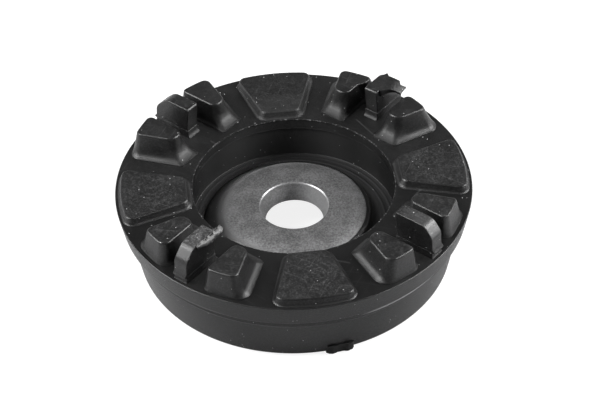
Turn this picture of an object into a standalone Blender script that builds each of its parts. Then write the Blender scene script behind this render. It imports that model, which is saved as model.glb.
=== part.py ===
# Bonded rubber suspension mount: a rubber ring with raised pads, blocks and ribs,
# and a steel centre plate held in its web.
# Metres, +Z up. The origin is on the axis, on the flat underside of the ring.
# The first pad points along +X, and the pattern of the top face repeats every quarter turn.

import math

import bmesh
import bpy
from mathutils import Matrix, Vector

# Centre plate, and how the rubber holds its edge
PLATE_RADIUS = 0.0190
PLATE_THICKNESS = 0.0048
PLATE_RECESS = 0.0070
PLATE_ROLL = 0.0010
PLATE_ROLL_WIDTH = 0.0014
PLATE_HEEL = 0.0004
PLATE_HEEL_WIDTH = 0.0012
BORE_TOP_RADIUS = 0.0084
BORE_BOTTOM_RADIUS = 0.0072
BORE_EDGE = 0.0003
EDGE_COVER = 0.0008
COVER_THICKNESS = 0.0006
BOND_GAP = 0.0003

# Web between the plate and the ring
WEB_WIDTH = 0.0059
WEB_DROP = 0.0048
WEB_HANG = 0.0038
BEAD_PITCH = 0.0016
BEAD_HEIGHT = 0.0007
BEAD_GROOVE = 0.0002

# Ring, its recess and its flange
RING_HEIGHT = 0.0200
RING_WIDTH = 0.0189
RIM_ROUNDING = 0.0005
LIP_DEPTH = 0.0036
LIP_FLARE = 0.0004
LIP_STEP = 0.0003
FLANGE_DEPTH = 0.0058
FLANGE_TAPER = 0.0010
FLANGE_STEP = 0.0006
FLANGE_EDGE = 0.0002
SHOULDER_DEPTH = 0.0028
SHOULDER_WIDTH = 0.0012
WALL_TAPER = 0.0020
FOOT_ROUNDING = 0.0010
HOLLOW_SETBACK = 0.0009
HOLLOW_FLARE = 0.0008
HOLLOW_ROUNDING = 0.0012
RING_SIDES = 64

# Four wide low pads
PAD_HEIGHT = 0.0018
PAD_SETBACK = 0.0019
PAD_RIM_MARGIN = 0.0014
PAD_INNER_WIDTH = 0.0091
PAD_OUTER_WIDTH = 0.0190
PAD_CORNER = 0.0016
PAD_DRAFT = 0.0008
PAD_RIM_DRAFT = 0.0005

# Eight tall blocks, one on each side of every rib; two of them are shorter towards the rim
BLOCK_HEIGHT = 0.0060
BLOCK_SETBACK = 0.0051
BLOCK_RIM_MARGIN = 0.0024
SHORT_BLOCK_RIM_MARGIN = 0.0041
BLOCK_FOOT_RIM_MARGIN = 0.0012
BLOCK_INNER_WIDTH = 0.0039
BLOCK_FAN_ANGLE = math.radians(23.0)
BLOCK_INNER_CORNER = 0.0023
BLOCK_RIM_CORNER = 0.0014
BLOCK_SOFT_CORNER = 0.0025
BLOCK_INNER_DRAFT = 0.0023
BLOCK_RIB_DRAFT = 0.0010
BLOCK_FAN_DRAFT = 0.0009

# Four thin ribs, each between two blocks, on low feet with a lip over the rim's end
RIB_HEIGHT = 0.0090
RIB_WIDTH = 0.00375
RIB_SETBACK = 0.0068
RIB_FOOT_SETBACK = 0.0076
RIB_RIM_MARGIN = 0.00105
RIB_LEAN = 0.0002
RIB_LIP_REACH = 0.0005
RIB_LIP_THICKNESS = 0.0003
RIB_SHOULDER_WIDTH = 0.0038
RIB_SHOULDER_DROP = 0.0034
RIB_FOOT_HEIGHT = 0.0020
RIB_FOOT_STEP = 0.00025
RIB_BLOCK_SPACE = 0.00435

# Rounded edges and root fillets of what is raised
EDGE_ROUNDING = 0.0004
RIB_EDGE_ROUNDING = 0.0002
ROOT_FILLET = 0.0016
RIB_SIDE_ROOT_FILLET = 0.0009
RIM_ROOT_FILLET = 0.00035
PAD_ROOT_FILLET = 0.00045
ROOT_DEPTH = 0.0010

# Torn flash left by the mould
FLASH_THICKNESS = 0.0006
FLAP_LENGTH = 0.0083
FLAP_REACH = 0.0040
FLAP_DROP = 0.0018
STRIP_LENGTH = 0.0070
STRIP_REACH = 0.0011
STRIP_DROP = 0.0012
LUMP_THICKNESS = 0.0010
LUMP_LENGTH = 0.0080
LUMP_REACH = 0.0016
LUMP_ANGLE = math.radians(-81.5)

# How finely curves are cut
ARC_STEP = 0.0006
CORNER_STEPS = 3
SHOULDER_STEPS = 4
SMALLEST_RADIUS = 0.00005

QUARTER = math.tau / 4
TOP = RING_HEIGHT
RECESS_RADIUS = PLATE_RADIUS + WEB_WIDTH
RIM_RADIUS = RECESS_RADIUS + RING_WIDTH
PLATE_TOP = TOP - PLATE_RECESS
PLATE_BOTTOM = PLATE_TOP - PLATE_THICKNESS
FLANGE_FOOT_RADIUS = RIM_RADIUS - FLANGE_TAPER
GROOVE_RADIUS = FLANGE_FOOT_RADIUS - FLANGE_STEP
WALL_TOP_RADIUS = GROOVE_RADIUS - SHOULDER_WIDTH
WALL_FOOT_RADIUS = WALL_TOP_RADIUS - WALL_TAPER


def clear_scene():
    for old in list(bpy.data.objects):
        bpy.data.objects.remove(old, do_unlink=True)


def make_material(name, colour, roughness, metallic):
    material = bpy.data.materials.new(name)
    material.use_nodes = True
    shader = material.node_tree.nodes["Principled BSDF"]
    shader.inputs["Base Color"].default_value = (*colour, 1.0)
    shader.inputs["Roughness"].default_value = roughness
    shader.inputs["Metallic"].default_value = metallic
    return material


def rounded(corners, steps=None):
    # Each corner is (x, y, radius); a radius of nought keeps it sharp.
    # An arc never takes more than about half of a side that another arc runs into.
    outline = []
    for index, (x, y, radius) in enumerate(corners):
        here = Vector((x, y))
        last = corners[index - 1]
        following = corners[(index + 1) % len(corners)]
        before = Vector(last[:2]) - here
        after = Vector(following[:2]) - here
        if not radius:
            outline.append(here)
            continue
        half = before.angle(after) / 2
        reach = min(radius / math.tan(half), (0.48 if last[2] else 0.95) * before.length,
                    (0.48 if following[2] else 0.95) * after.length)
        radius = reach * math.tan(half)
        before.normalize()
        after.normalize()
        centre = here + (before + after).normalized() * radius / math.sin(half)
        start = here + before * reach - centre
        end = here + after * reach - centre
        first = math.atan2(start.y, start.x)
        turn = (math.atan2(end.y, end.x) - first + math.pi) % math.tau - math.pi
        pieces = steps or math.ceil(radius / ARC_STEP)
        for step in range(pieces + 1):
            angle = first + turn * step / pieces
            outline.append(centre + radius * Vector((math.cos(angle), math.sin(angle))))
    return outline


def grown(corners, distance):
    # The same outline with every side moved outwards, its corners counted anticlockwise.
    result = []
    for index, (x, y, radius) in enumerate(corners):
        here = Vector((x, y))
        before = (here - Vector(corners[index - 1][:2])).normalized()
        after = (Vector(corners[(index + 1) % len(corners)][:2]) - here).normalized()
        out_before = Vector((before.y, -before.x))
        out_after = Vector((after.y, -after.x))
        middle = (out_before + out_after).normalized()
        moved = here + middle * distance / middle.dot(out_after)
        wider = max(radius + distance, SMALLEST_RADIUS) if radius else 0.0
        result.append((moved.x, moved.y, wider))
    return result


def arc(radius, start, end, steps, room):
    # Points on a circle round the axis, with room left at both ends for rounded corners.
    margin = math.copysign(min(1.15 * room / radius, 0.3 * abs(end - start)), end - start)
    first = start + margin
    last = end - margin
    angles = [first + (last - first) * step / steps for step in range(steps + 1)]
    return [(radius * math.cos(angle), radius * math.sin(angle), 0.0) for angle in angles]


def new_object(name, builder, material=None):
    mesh = bpy.data.meshes.new(name)
    builder.to_mesh(mesh)
    builder.free()
    if material:
        mesh.materials.append(material)
    made = bpy.data.objects.new(name, mesh)
    bpy.context.scene.collection.objects.link(made)
    return made


def smooth(made, angle=30):
    made.data.shade_smooth()
    made.data.set_sharp_from_angle(angle=math.radians(angle))


def revolve(name, profile, material):
    # A closed outline of radius and height, turned once round the axis.
    builder = bmesh.new()
    corners = [builder.verts.new((point.x, 0.0, point.y)) for point in profile]
    edges = [builder.edges.new(pair) for pair in zip(corners, corners[1:] + corners[:1])]
    bmesh.ops.spin(builder, geom=corners + edges, cent=(0, 0, 0), axis=(0, 0, 1),
                   angle=math.tau, steps=RING_SIDES, use_merge=True)
    bmesh.ops.recalc_face_normals(builder, faces=builder.faces[:])
    return new_object(name, builder, material)


def loft(name, sections):
    # A skin through outlines with the same count of points, closed at both ends.
    builder = bmesh.new()
    rings = [[builder.verts.new(point) for point in section] for section in sections]
    for lower, upper in zip(rings, rings[1:]):
        for index in range(len(lower)):
            builder.faces.new((lower[index - 1], lower[index], upper[index], upper[index - 1]))
    builder.faces.new(rings[0][::-1])
    builder.faces.new(rings[-1])
    bmesh.ops.recalc_face_normals(builder, faces=builder.faces[:])
    return new_object(name, builder)


def side_offset(level, height, draft, fillet):
    # How far a drafted side with a root fillet stands out from its top edge.
    share = min(max(level / height, 0.0), 1.0)
    low = min(max(level, 0.06 * fillet), fillet)
    return draft * (1 - share) + fillet - math.sqrt(fillet ** 2 - (fillet - low) ** 2)


def raised_boss(name, corners_at, height, fillet):
    # A drafted boss on the top face; corners_at gives its outline at a level above that face.
    def section(level, growth):
        outline = rounded(grown(corners_at(level), growth), CORNER_STEPS)
        return [Vector((point.x, point.y, TOP + level)) for point in outline]

    root_angles = [math.radians(angle) for angle in (20, 48, 75)]
    edge_angles = [math.radians(angle) for angle in (0, 45, 90)]
    sections = [section(-ROOT_DEPTH, 0.0)]
    sections += [section(fillet * (1 - math.cos(angle)), 0.0) for angle in root_angles]
    sections += [section(height - EDGE_ROUNDING * (1 - math.sin(angle)),
                         -EDGE_ROUNDING * (1 - math.cos(angle)))
                 for angle in edge_angles]
    return loft(name, sections)


def turned(made, angle):
    made.data.transform(Matrix.Rotation(angle, 4, "Z"))
    return made


def mirrored(made):
    made.data.transform(Matrix.Scale(-1, 4, (0, 1, 0)))
    made.data.flip_normals()
    return made


def ring_profile():
    flange_bottom = TOP - FLANGE_DEPTH
    throat = RECESS_RADIUS + LIP_FLARE
    wall = throat + LIP_STEP
    web_floor = PLATE_TOP - WEB_DROP
    web_bottom = PLATE_BOTTOM - WEB_HANG
    hollow = wall + HOLLOW_SETBACK
    hold_top = PLATE_TOP - PLATE_ROLL + BOND_GAP
    hold_bottom = PLATE_BOTTOM + PLATE_HEEL - BOND_GAP
    hold_lip = hold_bottom - PLATE_HEEL * EDGE_COVER / PLATE_HEEL_WIDTH
    hold_inner = PLATE_RADIUS - EDGE_COVER
    hold_outer = PLATE_RADIUS + BOND_GAP
    cover_outer = hold_outer + COVER_THICKNESS
    outside = [
        (hollow, 0.0, HOLLOW_ROUNDING),
        (WALL_FOOT_RADIUS, 0.0, FOOT_ROUNDING),
        (WALL_TOP_RADIUS, flange_bottom - SHOULDER_DEPTH, 2 * FLANGE_EDGE),
        (GROOVE_RADIUS, flange_bottom - SHOULDER_DEPTH + SHOULDER_WIDTH, FLANGE_EDGE),
        (GROOVE_RADIUS, flange_bottom - FLANGE_EDGE, 0.0),
        (FLANGE_FOOT_RADIUS, flange_bottom, FLANGE_EDGE),
        (RIM_RADIUS, TOP - RIM_ROUNDING, 0.0),
        (RIM_RADIUS - RIM_ROUNDING, TOP, 0.0),
    ]
    recess = [
        (RECESS_RADIUS, TOP, 0.5 * RIM_ROUNDING),
        (throat, TOP - LIP_DEPTH, 0.0),
        (wall, TOP - LIP_DEPTH - LIP_STEP, 0.0),
        (wall, web_floor, BEAD_GROOVE),
        (wall - 0.5 * BEAD_PITCH, web_floor - BEAD_GROOVE, BEAD_GROOVE),
        (wall - BEAD_PITCH, web_floor + BEAD_HEIGHT, BEAD_GROOVE),
        (wall - 1.4 * BEAD_PITCH, web_floor + BEAD_GROOVE, BEAD_GROOVE),
        (wall - 2 * BEAD_PITCH, web_floor + BEAD_HEIGHT - BEAD_GROOVE, BEAD_GROOVE),
    ]
    hold = [
        (cover_outer, hold_top, 2 * COVER_THICKNESS),
        (hold_inner, hold_top + COVER_THICKNESS, 0.5 * COVER_THICKNESS),
        (hold_inner, hold_top, 0.0),
        (hold_outer, hold_top - PLATE_ROLL, 0.0),
        (hold_outer, hold_bottom, 0.0),
        (hold_inner, hold_lip, 0.0),
        (hold_inner, hold_lip - COVER_THICKNESS, 0.5 * COVER_THICKNESS),
        (cover_outer, hold_lip - COVER_THICKNESS, 2 * COVER_THICKNESS),
    ]
    underside = [
        (cover_outer + WEB_HANG, web_bottom, HOLLOW_ROUNDING),
        (hollow - HOLLOW_FLARE, web_bottom, HOLLOW_ROUNDING),
    ]
    return rounded(outside + recess + hold + underside)


def plate_profile():
    covered = PLATE_RADIUS - EDGE_COVER
    corners = [
        (BORE_BOTTOM_RADIUS, PLATE_BOTTOM, 0.0),
        (PLATE_RADIUS - PLATE_HEEL_WIDTH, PLATE_BOTTOM, 0.0),
        (PLATE_RADIUS, PLATE_BOTTOM + PLATE_HEEL, 0.0),
        (PLATE_RADIUS, PLATE_TOP - 2 * PLATE_ROLL, 0.0),
        (covered, PLATE_TOP - PLATE_ROLL, PLATE_ROLL),
        (covered - PLATE_ROLL_WIDTH, PLATE_TOP, PLATE_ROLL_WIDTH),
        (BORE_TOP_RADIUS + BORE_EDGE, PLATE_TOP, 0.0),
        (BORE_TOP_RADIUS, PLATE_TOP - BORE_EDGE, 0.0),
    ]
    return rounded(corners)


def pad_corners(level):
    spread = side_offset(level, PAD_HEIGHT, PAD_DRAFT, PAD_ROOT_FILLET)
    rim_spread = side_offset(level, PAD_HEIGHT, PAD_RIM_DRAFT, PAD_ROOT_FILLET)
    inner_radius = RECESS_RADIUS + PAD_SETBACK - spread
    outer_radius = RIM_RADIUS - PAD_RIM_MARGIN + rim_spread
    inner_half = PAD_INNER_WIDTH / 2 + spread
    outer_half = PAD_OUTER_WIDTH / 2 + spread
    inner_x = math.sqrt(inner_radius ** 2 - inner_half ** 2)
    outer_x = math.sqrt(outer_radius ** 2 - outer_half ** 2)
    end = math.asin(outer_half / outer_radius)
    inner_end = [(inner_x, inner_half, PAD_CORNER), (inner_x, -inner_half, PAD_CORNER)]
    rim_end = [(outer_x, -outer_half, PAD_CORNER), *arc(outer_radius, -end, end, 5, PAD_CORNER),
               (outer_x, outer_half, PAD_CORNER)]
    return inner_end + rim_end


def make_pad(number):
    pad = raised_boss(f"pad_{number}", pad_corners, PAD_HEIGHT, PAD_ROOT_FILLET)
    return turned(pad, number * QUARTER)


def block_corners(level, rim_margin, rib_corner, fan_corner):
    # One side runs along the rib, the other fans out, and the rim end is on a circle.
    def spread(draft, fillet):
        return side_offset(level, BLOCK_HEIGHT, draft, fillet)

    inner_x = RECESS_RADIUS + BLOCK_SETBACK - spread(BLOCK_INNER_DRAFT, ROOT_FILLET)
    rim_draft = rim_margin - BLOCK_FOOT_RIM_MARGIN
    outer_radius = RIM_RADIUS - rim_margin + spread(rim_draft, RIM_ROOT_FILLET)
    rib_edge = RIB_WIDTH / 2 + RIB_BLOCK_SPACE
    rib_side = rib_edge - spread(BLOCK_RIB_DRAFT, RIB_SIDE_ROOT_FILLET)
    fan_side = rib_edge + BLOCK_INNER_WIDTH + spread(BLOCK_FAN_DRAFT, ROOT_FILLET)
    start = Vector((inner_x, fan_side))
    fan = Vector((math.cos(BLOCK_FAN_ANGLE), math.sin(BLOCK_FAN_ANGLE)))
    ahead = start.dot(fan)
    fan_end = start + fan * (math.sqrt(ahead ** 2 - start.length_squared + outer_radius ** 2)
                             - ahead)
    rib_end = Vector((math.sqrt(outer_radius ** 2 - rib_side ** 2), rib_side))
    rim = arc(outer_radius, math.atan2(rib_end.y, rib_end.x), math.atan2(fan_end.y, fan_end.x),
              2, max(rib_corner, fan_corner))
    return [(inner_x, fan_side, BLOCK_INNER_CORNER), (inner_x, rib_side, BLOCK_INNER_CORNER),
            (rib_end.x, rib_end.y, rib_corner), *rim, (fan_end.x, fan_end.y, fan_corner)]


def make_block(number, side, rim_margin, rib_corner, fan_corner):
    def corners_at(level):
        return block_corners(level, rim_margin, rib_corner, fan_corner)

    block = raised_boss(f"block_{number}_{side}", corners_at, BLOCK_HEIGHT, ROOT_FILLET)
    if side == "right":
        mirrored(block)
    return turned(block, (number + 0.5) * QUARTER)


def make_rib(number):
    inner = RECESS_RADIUS + RIB_SETBACK
    foot_inner = RECESS_RADIUS + RIB_FOOT_SETBACK
    outer = RIM_RADIUS - RIB_RIM_MARGIN
    ledge = TOP + RIB_FOOT_HEIGHT
    crest = TOP + RIB_HEIGHT
    side = [
        (foot_inner - 3 * RIB_FOOT_STEP, TOP - ROOT_DEPTH, 0.0),
        (outer, TOP - ROOT_DEPTH, 0.0),
        (outer, ledge - RIB_LIP_REACH, 0.0),
        (outer + RIB_LIP_REACH, ledge - RIB_LIP_THICKNESS, 0.0),
        (outer + RIB_LIP_REACH, ledge, 0.0),
        (outer, ledge + RIB_LIP_REACH, 0.0),
        (outer - RIB_LEAN, crest - RIB_SHOULDER_DROP, RIB_SHOULDER_DROP),
        (outer - RIB_SHOULDER_WIDTH, crest, RIB_SHOULDER_WIDTH),
        (inner, crest, RIB_EDGE_ROUNDING),
        (foot_inner, ledge + RIB_FOOT_STEP, 0.0),
        (foot_inner - RIB_FOOT_STEP, ledge, RIB_EDGE_ROUNDING),
    ]
    half = RIB_WIDTH / 2
    full = half - RIB_EDGE_ROUNDING
    sections = []
    for offset, inset in ((-half, RIB_EDGE_ROUNDING), (-full, 0.0), (full, 0.0),
                          (half, RIB_EDGE_ROUNDING)):
        outline = rounded(grown(side, -inset), SHOULDER_STEPS)
        sections.append([Vector((point.x, offset, point.y)) for point in outline])
    return turned(loft(f"rib_{number}", sections), (number + 0.5) * QUARTER)


def flash_sheet(name, outline, origin, thickness, drop, reach):
    # A torn sheet, filled, bent down on the side away from its origin and given a thickness.
    builder = bmesh.new()
    face = builder.faces.new([builder.verts.new((x, y, 0.0)) for x, y in outline])
    bmesh.ops.triangulate(builder, faces=[face])
    made = bmesh.ops.extrude_face_region(builder, geom=builder.faces[:])["geom"]
    lower = [item for item in made if isinstance(item, bmesh.types.BMVert)]
    bmesh.ops.translate(builder, vec=(0.0, 0.0, -thickness), verts=lower)
    for vert in builder.verts:
        vert.co.z -= drop * max(vert.co.y / reach, 0.0) ** 1.5
    bmesh.ops.translate(builder, vec=origin, verts=builder.verts)
    bmesh.ops.recalc_face_normals(builder, faces=builder.faces[:])
    return new_object(name, builder)


def make_flap():
    # The large torn flap on the rib behind on the right, hanging off one side of its crest.
    outline = [(along * FLAP_LENGTH, across * FLAP_REACH) for along, across in (
        (0.18, -0.17), (0.58, -0.62), (0.82, -0.79), (0.90, -0.69), (1.00, -0.62), (0.90, -0.35),
        (0.92, 0.07), (0.96, 0.41), (0.86, 0.61), (0.97, 0.89), (0.74, 0.91), (0.62, 0.98),
        (0.60, 0.61), (0.51, 0.25), (0.16, 0.08))]
    origin = (RECESS_RADIUS + RIB_SETBACK, RIB_WIDTH / 2, TOP + RIB_HEIGHT - 0.5 * RIB_EDGE_ROUNDING)
    flap = flash_sheet("flap", outline, origin, FLASH_THICKNESS, FLAP_DROP, FLAP_REACH)
    return turned(mirrored(flap), 0.5 * QUARTER)


def make_strip():
    # The folded strip along one edge of the rib in front on the left.
    outline = [(along * STRIP_LENGTH, across * STRIP_REACH) for along, across in (
        (0.99, -0.62), (0.10, -0.62), (-0.14, -0.35), (-0.27, -0.09), (-0.27, 0.50),
        (-0.12, 0.98), (0.00, 1.02), (0.18, 0.87), (0.37, 1.00), (0.60, 0.95), (0.82, 0.65),
        (1.01, 0.30))]
    origin = (RECESS_RADIUS + RIB_SETBACK, RIB_WIDTH / 2, TOP + RIB_HEIGHT - 0.5 * RIB_EDGE_ROUNDING)
    strip = flash_sheet("strip", outline, origin, FLASH_THICKNESS, STRIP_DROP, STRIP_REACH)
    return turned(strip, 2.5 * QUARTER)


def make_lump():
    # The lump of flash left in front under the foot of the wall.
    outline = [(WALL_FOOT_RADIUS + out * LUMP_REACH, along * LUMP_LENGTH) for out, along in (
        (-1.2, -0.50), (0.2, -0.48), (1.0, -0.32), (0.8, 0.08), (1.0, 0.36), (0.2, 0.48),
        (-1.2, 0.50))]
    origin = (0.0, 0.0, RIB_EDGE_ROUNDING + LUMP_THICKNESS)
    return turned(flash_sheet("lump", outline, origin, LUMP_THICKNESS, 0.0, LUMP_LENGTH), LUMP_ANGLE)


def unite(target, features):
    for feature in features:
        feature.hide_render = True
        feature.display_type = "WIRE"
        union = target.modifiers.new(feature.name, "BOOLEAN")
        union.operation = "UNION"
        union.solver = "EXACT"
        union.object = feature


def main():
    clear_scene()
    rubber = make_material("moulded_rubber", (0.034, 0.034, 0.035), 0.55, 0.0)
    steel = make_material("plate_steel", (0.19, 0.19, 0.188), 0.55, 0.55)

    body = revolve("rubber_body", ring_profile(), rubber)
    features = []
    normal = BLOCK_RIM_CORNER
    soft = BLOCK_SOFT_CORNER
    for number, (rim_margin, rib_corner, fan_corner) in enumerate((
            (SHORT_BLOCK_RIM_MARGIN, normal, normal), (BLOCK_RIM_MARGIN, normal, normal),
            (BLOCK_RIM_MARGIN, soft, normal), (BLOCK_RIM_MARGIN, normal, soft))):
        features.append(make_pad(number))
        features.append(make_block(number, "left", rim_margin, normal, normal))
        features.append(make_block(number, "right", rim_margin, rib_corner, fan_corner))
        features.append(make_rib(number))
    unite(body, features + [make_flap(), make_strip(), make_lump()])
    smooth(body)

    plate = revolve("centre_plate", plate_profile(), steel)
    smooth(plate)


main()
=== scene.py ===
# The finished look of a bonded rubber suspension mount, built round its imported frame.
# Shapes are worked out in millimetres in the frame's own axes and are brought to metres at the end.
import math

import bmesh
import bpy
from mathutils import Matrix, Vector, noise


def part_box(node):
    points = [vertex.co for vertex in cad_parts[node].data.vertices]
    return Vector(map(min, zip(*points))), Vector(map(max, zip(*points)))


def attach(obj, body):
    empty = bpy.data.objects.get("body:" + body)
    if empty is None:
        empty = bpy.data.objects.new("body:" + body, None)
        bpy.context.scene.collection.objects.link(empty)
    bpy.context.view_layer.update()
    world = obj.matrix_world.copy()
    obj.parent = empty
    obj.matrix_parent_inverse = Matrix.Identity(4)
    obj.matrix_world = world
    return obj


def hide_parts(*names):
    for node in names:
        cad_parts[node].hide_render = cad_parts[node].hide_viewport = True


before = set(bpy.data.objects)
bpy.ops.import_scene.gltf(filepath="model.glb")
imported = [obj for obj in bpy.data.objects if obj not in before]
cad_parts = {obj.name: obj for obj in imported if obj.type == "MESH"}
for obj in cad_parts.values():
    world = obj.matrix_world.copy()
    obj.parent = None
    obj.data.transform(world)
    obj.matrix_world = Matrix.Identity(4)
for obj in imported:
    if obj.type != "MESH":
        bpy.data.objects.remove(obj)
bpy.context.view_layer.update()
print("frame loaded:", sorted(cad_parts))

mm = 0.001
quarter = math.tau / 4
bodyLow, bodyHigh = (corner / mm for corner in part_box("rubber_body"))
plateLow, plateHigh = (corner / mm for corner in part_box("centre_plate"))

# the view of the photograph, fitted to the circles of the rim, the recess and the bore
photoView = {
    "imageWidth": 600,
    "focalPixels": 1975.2,
    "sensorWidth": 36.0,
    "tilt": math.radians(41.541),
    "roll": math.radians(-1.382),
    "distance": 488.9,
    "sideways": 1.471,
    "upwards": -5.395,
    "patternTurn": math.radians(6.33),
}

# the ring, its recess and its flange; each rounding is a distance along both sides of a corner
ring = {
    "steps": 320,
    "plateRecess": 7.0,
    "webWidth": 5.9,
    "webDrop": 4.8,
    "webHang": 3.8,
    # the web from its wall to the plate: distance in from the wall, height above the web's floor,
    # rounding, segments
    "webSteps": ((0.0, 0.0, 0.15, 2), (0.9, -0.02, 0.25, 3), (1.3, 0.1, 0.15, 4), (1.7, -0.02, 0.25, 3),
                 (2.45, 0.06, 0.25, 3), (2.9, 0.26, 0.15, 4), (3.35, 0.14, 0.25, 3), (5.0, 0.5, 0.7, 6),
                 (6.15, 1.3, 0.3, 4)),
    "lipDepth": 3.1,
    "lipFlare": 0.4,
    "lipStep": 0.3,
    # the lip's fine ridge: distance in from the throat, height above the lip, rounding, segments
    "lipSteps": ((0.03, 0.15, 0.0, 0), (0.14, 0.0, 0.05, 2), (-0.06, -0.12, 0.0, 0)),
    # the rubber over the plate's edge, and the slope that takes its place on the left
    "edgeCover": 1.1,
    "coverThickness": 0.6,
    "coverDrop": 1.75,
    "coverRounding": 0.4,
    "coverEdge": 0.15,
    "coverGap": 0.02,
    "underGap": 0.17,
    "underRounding": 0.7,
    "bondGap": 0.05,
    "smearLift": 0.06,
    "smearSlope": 0.6,
    "smearCurve": 0.05,
    "smearEdge": 1.2,
    "smearReach": 5.0,
    "smearStart": 2.0,
    "smearWidth": 9.0,
    "rimOverhang": 0.05,
    "rimChamfer": 0.15,
    "flangeDepth": 5.8,
    "flangeTaper": 1.0,
    "flangeStep": 0.95,
    "flangeRounding": 0.3,
    "grooveCorner": 0.15,
    "grooveRounding": 0.2,
    "shoulderDepth": 2.8,
    "shoulderWidth": 0.85,
    "shoulderRounding": 0.35,
    "wallTaper": 2.0,
    "footRounding": 1.0,
    "hollowSetback": 0.9,
    "hollowFlare": 0.8,
    "hollowRounding": 1.2,
}
plateTop = plateHigh.z
plateRadius = plateHigh.x
ringTop = plateTop + ring["plateRecess"]
recessRadius = plateRadius + ring["webWidth"]
rimRadius = bodyHigh.x
rootDepth = 1.0  # how far pads, blocks and ribs reach down into the ring


def roundedOutline(corners, steps):
    # corners are (x, y, radius); an arc takes at most half of a side that another arc shares
    sharedPart, freePart = 0.49, 0.95
    outline = []
    for index, (x, y, radius) in enumerate(corners):
        here = Vector((x, y))
        last = corners[index - 1]
        following = corners[(index + 1) % len(corners)]
        before = Vector(last[:2]) - here
        after = Vector(following[:2]) - here
        if not radius:
            outline.append(here)
            continue
        half = before.angle(after) / 2
        reach = min(radius / math.tan(half), (sharedPart if last[2] else freePart) * before.length,
                    (sharedPart if following[2] else freePart) * after.length)
        radius = reach * math.tan(half)
        before.normalize()
        after.normalize()
        centre = here + (before + after).normalized() * radius / math.sin(half)
        start = here + before * reach - centre
        end = here + after * reach - centre
        first = math.atan2(start.y, start.x)
        turn = (math.atan2(end.y, end.x) - first + math.pi) % math.tau - math.pi
        for step in range(steps + 1):
            angle = first + turn * step / steps
            outline.append(centre + radius * Vector((math.cos(angle), math.sin(angle))))
    return outline


def grownCorners(corners, distance):
    # every side moves outwards; the corners are counted anticlockwise
    smallestRadius = 0.05
    grown = []
    for index, (x, y, radius) in enumerate(corners):
        here = Vector((x, y))
        before = (here - Vector(corners[index - 1][:2])).normalized()
        after = (Vector(corners[(index + 1) % len(corners)][:2]) - here).normalized()
        outBefore = Vector((before.y, -before.x))
        outAfter = Vector((after.y, -after.x))
        middle = (outBefore + outAfter).normalized()
        moved = here + middle * distance / middle.dot(outAfter)
        grown.append((moved.x, moved.y, max(radius + distance, smallestRadius) if radius else 0.0))
    return grown


def arcCorners(radius, start, end, steps, room):
    # points of the rim's arc, with room left at both ends for the corners beside it
    roomShare, longestMargin = 1.15, 0.3
    margin = min(roomShare * room / radius, longestMargin * abs(end - start))
    margin = math.copysign(margin, end - start)
    first = start + margin
    last = end - margin
    angles = [first + (last - first) * step / steps for step in range(steps + 1)]
    return [(radius * math.cos(angle), radius * math.sin(angle), 0.0) for angle in angles]


def spinShape(corners, steps):
    # corners are (radius, height, rounding, segments); the wire is rounded, then spun full circle
    shape = bmesh.new()
    verts = [shape.verts.new((radius, 0, height)) for radius, height, rounding, segments in corners]
    for index, vert in enumerate(verts):
        shape.edges.new((verts[index - 1], vert))
    for vert, (radius, height, rounding, segments) in zip(verts, corners):
        if rounding:
            bmesh.ops.bevel(shape, geom=[vert], offset=rounding, offset_type="OFFSET", segments=segments,
                            profile=0.5, affect="VERTICES", material=-1)
    bmesh.ops.spin(shape, geom=shape.verts[:] + shape.edges[:], cent=(0, 0, 0), axis=(0, 0, 1),
                   angle=math.tau, steps=steps, use_merge=True)
    bmesh.ops.remove_doubles(shape, verts=shape.verts, dist=0.001)
    bmesh.ops.recalc_face_normals(shape, faces=shape.faces)
    return shape


def loftShape(shape, sections, placement=Matrix()):
    # extrudes a face from outline to outline; every outline has the same count of points
    face = shape.faces.new([shape.verts.new(placement @ point) for point in sections[0]])
    for number, section in enumerate(sections[1:]):
        made = bmesh.ops.extrude_face_region(shape, geom=[face])["geom"]
        nextFace = next(item for item in made if isinstance(item, bmesh.types.BMFace))
        if number:
            shape.faces.remove(face)
        for vert, point in zip(nextFace.verts, section):
            vert.co = placement @ point
        face = nextFace


def meshObject(name, shape):
    bmesh.ops.recalc_face_normals(shape, faces=shape.faces)
    mesh = bpy.data.meshes.new(name)
    shape.to_mesh(mesh)
    shape.free()
    made = bpy.data.objects.new(name, mesh)
    bpy.context.scene.collection.objects.link(made)
    return made


def applyModifiers(piece):
    evaluated = piece.evaluated_get(bpy.context.evaluated_depsgraph_get())
    mesh = bpy.data.meshes.new_from_object(evaluated)
    piece.modifiers.clear()
    piece.data = mesh


def joinInto(piece, addition):
    union = piece.modifiers.new("union", "BOOLEAN")
    union.operation = "UNION"
    union.solver = "EXACT"
    union.object = addition
    applyModifiers(piece)
    bpy.data.objects.remove(addition)


def finishPiece(piece, material, node):
    # millimetres become metres, and flat faces keep flat shading beside their rounded edges
    weldDistance, shortestEdge, sharpAngle = 0.002, 0.001, math.radians(50)
    shape = bmesh.new()
    shape.from_mesh(piece.data)
    bmesh.ops.remove_doubles(shape, verts=shape.verts, dist=weldDistance)
    bmesh.ops.dissolve_degenerate(shape, edges=shape.edges, dist=shortestEdge)
    bmesh.ops.scale(shape, vec=(mm, mm, mm), verts=shape.verts)
    for face in shape.faces:
        face.smooth = True
    shape.to_mesh(piece.data)
    shape.free()
    piece.data.set_sharp_from_angle(angle=sharpAngle)
    weighted = piece.modifiers.new("weighted", "WEIGHTED_NORMAL")
    weighted.keep_sharp = True
    applyModifiers(piece)
    piece.data.materials.clear()
    piece.data.materials.append(material)
    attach(piece, "root")
    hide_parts(node)


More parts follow.
